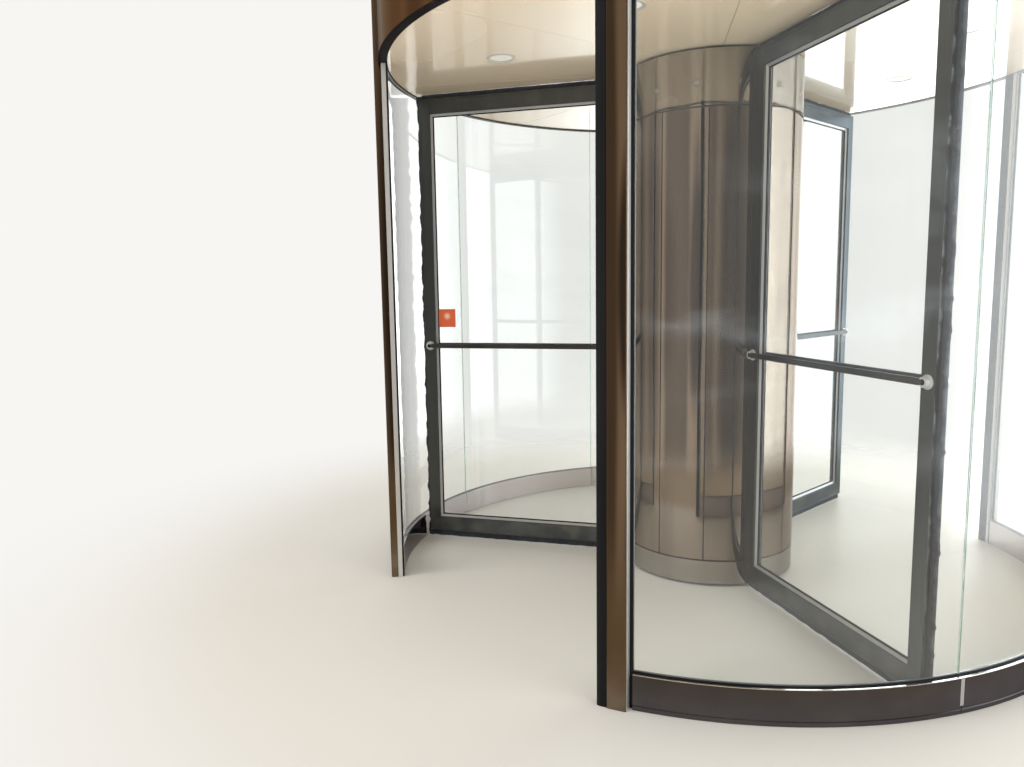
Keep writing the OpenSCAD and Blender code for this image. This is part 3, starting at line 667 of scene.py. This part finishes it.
# %% Fascia
EDGE, SLIT = 60.5, 0.04
FASCIA_IN, FASCIA_LOW, FASCIA_HIGH = 1.575, 2.4033, 2.8437
for name, first, last in (("lobby", -180 + EDGE, -EDGE), ("east", -EDGE, EDGE), ("street", EDGE, 180 - EDGE),
                          ("west", 180 - EDGE, 180 + EDGE)):
    bm = bmesh.new()
    swung(bm, [(FASCIA_IN, FASCIA_LOW), (OUTER, FASCIA_LOW), (OUTER, FASCIA_HIGH), (FASCIA_IN, FASCIA_HIGH)],
          first + SLIT, last - SLIT)
    finished(f"fascia_{name}_sheet", bm, "enclosure", fascia_steel, [f"fascia_{name}"], 0.0012)

# %% [markdown]
# ## Ceiling, downlights and roof
#
# The eight cream sectors are flat solids with real seams and real holes, so they stay and only get their
# finish. Each downlight is a spun trim ring and a frosted lens set back in it.

# %% Ceiling and downlights
LIGHTS, LIGHT_PLACE = 8, 1.040
paint_node(cream_board, "soffit")
TRIM = [(0.050, CEILING + 0.0002), (0.0504, CEILING - 0.0008), (0.053, CEILING - 0.0017),
        (0.059, CEILING - 0.002), (0.0654, CEILING - 0.0013), (0.066, CEILING), (0.0577, CEILING),
        (0.0577, CEILING + 0.022), (0.054, CEILING + 0.022), (0.054, CEILING + 0.0002)]
LENS = [(0, CEILING + 0.0002), (0.030, CEILING + 0.0004), (0.046, CEILING + 0.0008), (0.0535, CEILING + 0.0014),
        (0.0535, CEILING + 0.003), (0.042, CEILING + 0.005), (0, CEILING + 0.005)]
rims, lenses = bmesh.new(), bmesh.new()
for spoke in range(LIGHTS):
    turn_by = radians((spoke + 0.5) * 360 / LIGHTS)
    centre = (LIGHT_PLACE * cos(turn_by), LIGHT_PLACE * sin(turn_by))
    for whole, profile, cap in ((rims, TRIM, False), (lenses, LENS, True)):
        part = bmesh.new()
        closed_ring(part, profile, 48, centre, cap)
        gather(whole, part)
finished("downlight_trims", rims, "enclosure", white_trim, ["downlight_rims"])
finished("downlight_glow_lenses", lenses, "enclosure", lamp_lens, ["downlight_lenses"])

# %% [markdown]
# The roof is seen only from above: sheet sectors on a deck, with dark seams between them and a row of
# countersunk screws along the rim. The seams are gaps over a black under-sheet.

# %% Roof
SHEET_LOW, SHEET_HIGH, SHEET_IN, SHEET_OUT, CAP = 2.8464, 2.8497, 0.256, 1.5785, 0.250
ROOF_GAP, SCREWS, SCREW_PLACE = 0.12, 40, 1.560
bm = bmesh.new()
closed_ring(bm, [(0, 2.8442), (1.5795, 2.8442), (1.5795, 2.8462), (0, 2.8462)], 180, cap=True)
finished("roof_under_sheet", bm, "enclosure", inner_dark)

bm = bmesh.new()
for sector in range(8):
    swung(bm, [(SHEET_IN, SHEET_LOW), (SHEET_OUT, SHEET_LOW), (SHEET_OUT, SHEET_HIGH), (SHEET_IN, SHEET_HIGH)],
          sector * 45 + ROOF_GAP, (sector + 1) * 45 - ROOF_GAP, 1.25)
closed_ring(bm, [(0, SHEET_LOW), (CAP, SHEET_LOW), (CAP, ROOF), (0, ROOF)], 90, cap=True)
finished("roof_sheets", bm, "enclosure", roof_paint, ["roof_deck"], 0.0008)

SCREW = [(0, 2.8494), (0.0012, 2.8494), (0.0014, 2.850), (0.0046, 2.850), (0.0050, 2.8497), (0.0050, 2.849),
         (0, 2.849)]
bm = bmesh.new()
for count in range(SCREWS):
    across = radians((count + 0.5) * 360 / SCREWS)
    closed_ring(bm, SCREW, 12, (SCREW_PLACE * cos(across), SCREW_PLACE * sin(across)), cap=True)
finished("roof_screws", bm, "enclosure", bright_steel)

paint_node(primer, "canopy_frame", "top_bearing", "floor_pivot")

# %% [markdown]
# ## Drum
#
# The turning drum is a steel tube dressed in twelve curved sheets, a header band and a kick plate. Thin dark
# joints separate them, and their folded edges catch the light. Each sheet is a spun rectangle with rounded
# edges in front of the dark tube.

# %% Drum
DRUM, SKIN = 0.412, 0.406
SHARE, GAP, PANEL_LOW, PANEL_HIGH = 30, 0.28, 0.128, 2.149
for name, low, high, replaced in (("drum_header_band", 2.155, 2.390, "drum_header"),
                                  ("drum_kick_plate", 0.014, 0.122, "drum_skirt")):
    bm = bmesh.new()
    closed_ring(bm, [(SKIN, low), (DRUM, low), (DRUM, high), (SKIN, high)], 180)
    finished(name, bm, "rotor", header_steel, [replaced], 0.0012)

bm = bmesh.new()
for count in range(12):
    first = WING_TURNS[0] + SHARE * count
    swung(bm, [(SKIN, PANEL_LOW), (DRUM, PANEL_LOW), (DRUM, PANEL_HIGH), (SKIN, PANEL_HIGH)],
          first + GAP, first + SHARE - GAP, 1.5)
finished("drum_sheets", bm, "rotor", drum_steel, ["drum_panels"], 0.0012)
paint_node(inner_dark, "drum_core")

# %% [markdown]
# ## Wings
#
# A wing is a frame of four bars round a fixed pane: two upright stiles over the full height, and a top and a
# bottom rail between them. Each bar is a box with rounded edges, and the hair line where two of them meet
# comes from those edges. The outer stile, the foot and the head are split by a groove for the brush, so each
# of them ends in two cheeks.

# %% Wing frames
TOE, HEAD = 0.042, 2.376
PANE_X, PANE_Z = (0.482, 1.450), (0.120, 2.298)
HALF, CHEEK, DEEP, REACH, HEEL = 0.025, 0.0073, 0.010, 1.510, 0.4113


def wing_bars(bm):
    x0, x1, z0, z1 = *PANE_X, *PANE_Z
    block(bm, (HEEL, -HALF, TOE + DEEP), (x0, HALF, HEAD - DEEP))
    block(bm, (x0, -HALF, TOE + DEEP), (x1, HALF, z0))
    block(bm, (x0, -HALF, z1), (x1, HALF, HEAD - DEEP))
    block(bm, (x1, -HALF, TOE + DEEP), (REACH - DEEP, HALF, HEAD - DEEP))
    for low, high in ((-HALF, -CHEEK), (CHEEK, HALF)):
        block(bm, (REACH - DEEP, low, TOE), (REACH, high, HEAD))
        block(bm, (HEEL, low, TOE), (REACH - DEEP, high, TOE + DEEP))
        block(bm, (HEEL, low, HEAD - DEEP), (REACH - DEEP, high, HEAD))


for count, degrees in enumerate(WING_TURNS):
    bm = bmesh.new()
    wing_bars(bm)
    turn(bm, degrees)
    name = f"wing_{count + 1}_frame"
    finished(name + "_bars", bm, "rotor", wing_steel, [name], 0.0014)

# %% [markdown]
# A satin bead clips in round the glass on each face, mitred at its corners, with a black rubber line
# between bead and glass. Insetting one rectangle gives the four mitred strips at once; the bead is then
# raised and its inner edge drawn down towards the glass.

# %% Beads, rubber lines and panes
def frame_strip(bm, x, z, width, deep, lift, slope):
    """Mitred strips just inside a rectangle, from y = deep out to y = lift, sloping down to the inside."""
    grid = bmesh.ops.create_grid(bm, x_segments=1, y_segments=1, size=0.5)["verts"]
    bmesh.ops.scale(bm, vec=(x[1] - x[0], z[1] - z[0], 1), verts=grid)
    bmesh.ops.rotate(bm, cent=(0, 0, 0), matrix=Matrix.Rotation(pi / 2, 3, "X"), verts=grid)
    bmesh.ops.translate(bm, vec=(sum(x) / 2, deep, sum(z) / 2), verts=grid)
    middle = grid[0].link_faces[0]
    strips = bmesh.ops.inset_region(bm, faces=[middle], thickness=width, use_boundary=True,
                                    use_even_offset=True)["faces"]
    bmesh.ops.delete(bm, geom=[middle], context="FACES_ONLY")
    inner = {v for f in strips for v in f.verts} - set(grid)
    top = bmesh.ops.extrude_face_region(bm, geom=strips, use_keep_orig=True)["geom"]
    raised = [v for v in top if isinstance(v, bmesh.types.BMVert)]
    bmesh.ops.translate(bm, vec=(0, lift - deep, 0), verts=raised)
    near = [v for v in raised if any((v.co.xz - w.co.xz).length < TINY for w in inner)]
    bmesh.ops.translate(bm, vec=(0, slope, 0), verts=near)


GLASS, BEAD, LINE, REBATE = 0.005, 0.011, 0.004, 0.0045
for count, degrees in enumerate(WING_TURNS):
    beads, lines, pane = bmesh.new(), bmesh.new(), bmesh.new()
    for side in (-1, 1):
        frame_strip(beads, PANE_X, PANE_Z, BEAD, side * GLASS, side * 0.0165, -side * 0.006)
        inner_x = (PANE_X[0] + BEAD, PANE_X[1] - BEAD)
        inner_z = (PANE_Z[0] + BEAD, PANE_Z[1] - BEAD)
        frame_strip(lines, inner_x, inner_z, LINE, side * GLASS, side * 0.0085, -side * 0.002)
    block(pane, (PANE_X[0] + REBATE, -GLASS, PANE_Z[0] + REBATE),
          (PANE_X[1] - REBATE, GLASS, PANE_Z[1] - REBATE))
    for part in (beads, lines, pane):
        turn(part, degrees)
    wing = f"wing_{count + 1}_"
    replaced = ["wing_beads"] if count == 0 else ()
    finished(wing + "beads", beads, "rotor", bead_alloy, replaced, 0.0008)
    finished(wing + "rubber_lines", lines, "rotor", rubber, (), 0.0004)
    finished(wing + "pane", pane, "rotor", flat_glass, [wing + "glass"], 0.0006, 1)

# %% [markdown]
# ## Push bars
#
# A dark bar crosses each face of a wing at hand height and ends on a round pale rosette with a dark
# centre. The bar is a rounded box, and the rosette is a stepped profile spun about its own axis.

# %% Push bars
BAR_Z, BAR_HALF, BAR_NEAR, BAR_AWAY = 1.078, 0.012, 0.010, 0.022
ENDS = (PANE_X[0] - 0.035, PANE_X[1] + 0.030)
ROSETTE = [(0, 0), (0.024, 0), (0.024, 0.004), (0.021, 0.007), (0.0185, 0.0075), (0.0175, 0.020),
           (0.0155, 0.0219), (0.0105, 0.0219), (0.0100, 0.0205), (0, 0.0205)]
HEART = [(0, 0.020), (0.0096, 0.020), (0.0096, 0.0212), (0.0086, 0.0217), (0, 0.0218)]
bars, rosettes, hearts = bmesh.new(), bmesh.new(), bmesh.new()
for degrees in WING_TURNS:
    for side in (-1, 1):
        near, away = sorted((side * (HALF + BAR_NEAR), side * (HALF + BAR_AWAY)))
        turn(bars, degrees, block(bars, (ENDS[0], near, BAR_Z - BAR_HALF), (ENDS[1], away, BAR_Z + BAR_HALF)))
        for x in ENDS:
            for whole, profile in ((rosettes, ROSETTE), (hearts, HEART)):
                part = bmesh.new()
                closed_ring(part, profile, 32, cap=True)
                bmesh.ops.rotate(part, cent=(0, 0, 0), matrix=Matrix.Rotation(-side * pi / 2, 3, "X"),
                                 verts=part.verts)
                bmesh.ops.translate(part, vec=(x, side * HALF, BAR_Z), verts=part.verts)
                turn(part, degrees)
                gather(whole, part)
finished("push_bar_rods", bars, "rotor", bar_steel, ["push_bars"], 0.004, 3)
finished("push_bar_rosettes", rosettes, "rotor", satin_alloy)
finished("rosette_hearts", hearts, "rotor", rubber)

# %% [markdown]
# ## Brush seals
#
# A dark blue-grey pile closes the gap between a wing and what it passes. Single hairs are far too fine to
# model, so a strip of pile is a slab whose free edge waves in and out, with a finish that is streaked along
# the hairs.

# %% Brush finish
def pile_finish(name, stretch):
    paint = Finish(name)
    hair = paint.cloud(stretch)
    clump = paint.cloud((9, 9, 22), 2)
    tone = paint.mixed(paint.spread(hair, 0.34, 0.66), rgb(0.020, 0.023, 0.032), rgb(0.054, 0.060, 0.076))
    shade = paint.mixed(paint.spread(clump, 0.4, 0.65) * 0.35, tone, rgb(0.018, 0.020, 0.027))
    return paint.skin(Base_Color=shade, Roughness=0.75, Normal=paint.bump(hair, 0.9, 0.0015))


side_pile = pile_finish("side pile", (6, 6, 620))
edge_pile = pile_finish("edge pile", (420, 420, 5))


# %% Brush pile
TUFT, PILE_HALF, PILE_END, PILE_TOP, PILE_FOOT = 0.006, 0.007, 1.533, 2.4018, 0.005


def pile(bm, low, high, along, free, wave):
    """A slab of pile. along is its long axis, free the coordinate and side of its waving edge."""
    verts = block(bm, low, high)
    edges = {e for v in verts for e in v.link_edges}
    long_ones = [e for e in edges if abs(e.verts[0].co[along] - e.verts[1].co[along]) > TINY]
    cuts = int((high[along] - low[along]) / TUFT)
    bmesh.ops.subdivide_edges(bm, edges=long_ones, cuts=cuts, use_grid_fill=True)
    axis, edge, inwards = free
    for v in bm.verts:
        if abs(v.co[axis] - edge) < TINY and low[along] - TINY <= v.co[along] <= high[along] + TINY:
            run = v.co[along]
            sway = noise.noise(Vector((run * 19, edge * 9, 3.1))) * 1.1
            sway += noise.noise(Vector((run * 60, 7.7, edge))) * 0.5
            v.co[axis] += inwards * wave * (0.5 + 0.5 * max(-1, min(1, sway)))
            v.co[1] *= 0.62
            bend = noise.noise(Vector((run * 24, 1.3, edge)))
            bend += noise.noise(Vector((run * 55, 4.1, edge))) * 0.5
            v.co[1] += wave * 0.8 * bend


upright_pile, level_pile = bmesh.new(), bmesh.new()
for degrees in WING_TURNS:
    side, flat = bmesh.new(), bmesh.new()
    pile(side, (1.501, -PILE_HALF, 0.006), (PILE_END, PILE_HALF, 2.394), 2, (0, PILE_END, -1), 0.013)
    pile(flat, (0.415, -PILE_HALF, PILE_FOOT), (1.500, PILE_HALF, TOE + 0.009), 0, (2, PILE_FOOT, 1), 0.004)
    pile(flat, (0.415, -PILE_HALF, HEAD - 0.009), (1.500, PILE_HALF, PILE_TOP), 0, (2, PILE_TOP, -1), 0.002)
    for part, whole in ((side, upright_pile), (flat, level_pile)):
        turn(part, degrees)
        gather(whole, part)
finished("upright_brush_pile", upright_pile, "rotor", side_pile, ["wing_brushes"])
finished("level_brush_pile", level_pile, "rotor", edge_pile)

# %% [markdown]
# ## Notice
#
# One wing carries a small square sticker on its glass, orange with a pale round mark. It is left plain. A
# thin slab on the pane with two finishes would do; the mark is drawn in the shader from the distance to its
# middle.

# %% Notice
along = radians(WING_TURNS[2])
NOTICE_X, NOTICE_Z, FILM = (1.339, 1.435), (1.178, 1.2755), (0.0001, 0.0005)
MARK_X, MARK_Z = 1.387, 1.2375
mark = (MARK_X * cos(along), MARK_X * sin(along), MARK_Z)

film = Finish("notice film")
away = film.measured("DISTANCE", i0=film.node("TexCoord", out="Object"), i1=mark)
disc = film.spread(away, 0.004, 0.026, 0.85, 0.0)
hatch = film.cloud((60, 60, 60), 3)
orange = film.mixed(hatch * 0.5, rgb(0.70, 0.125, 0.045), rgb(0.58, 0.095, 0.035))
notice_film = film.skin(Base_Color=film.mixed(disc, orange, rgb(0.88, 0.62, 0.42)),
                        Roughness=hatch * 0.1 + 0.30, Normal=film.bump(hatch, 0.1, 0.001))
bm = bmesh.new()
block(bm, (NOTICE_X[0], GLASS + FILM[0], NOTICE_Z[0]), (NOTICE_X[1], GLASS + FILM[1], NOTICE_Z[1]))
turn(bm, WING_TURNS[2])
finished("notice_square", bm, "rotor", notice_film, (), 0.0001, 1)
